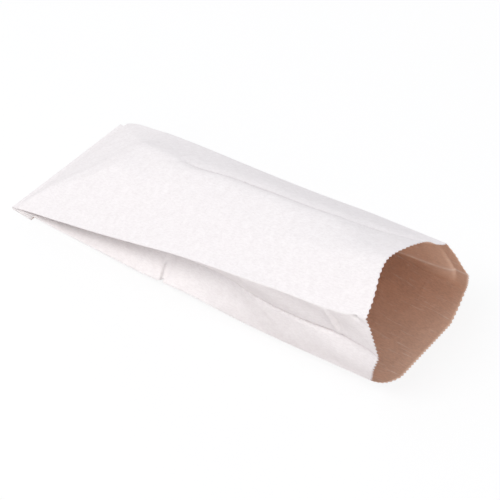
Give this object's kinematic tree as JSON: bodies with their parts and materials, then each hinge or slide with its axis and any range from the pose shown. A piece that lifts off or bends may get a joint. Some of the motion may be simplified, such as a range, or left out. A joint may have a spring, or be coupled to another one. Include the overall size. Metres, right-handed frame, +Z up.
{
  "type": "paper sandwich bag",
  "caption": "White side-gusseted paper sandwich bag lying open on its back, with a pinked mouth and the closed end turned under.",
  "frame": {"origin": "middle of the bag's bounding box, on the surface it lies on", "axes": "+X along the bag from the closed end to the mouth, +Y across it towards the far side gusset, +Z up"},
  "size_m": [0.3564, 0.1494, 0.1134],
  "materials": {
    "bleached_paper": "matte, lightly mottled, with a satin greaseproof inside"
  },
  "bodies": {
    "root": {"paper_bag": "bleached_paper"}
  },
  "joints": []
}
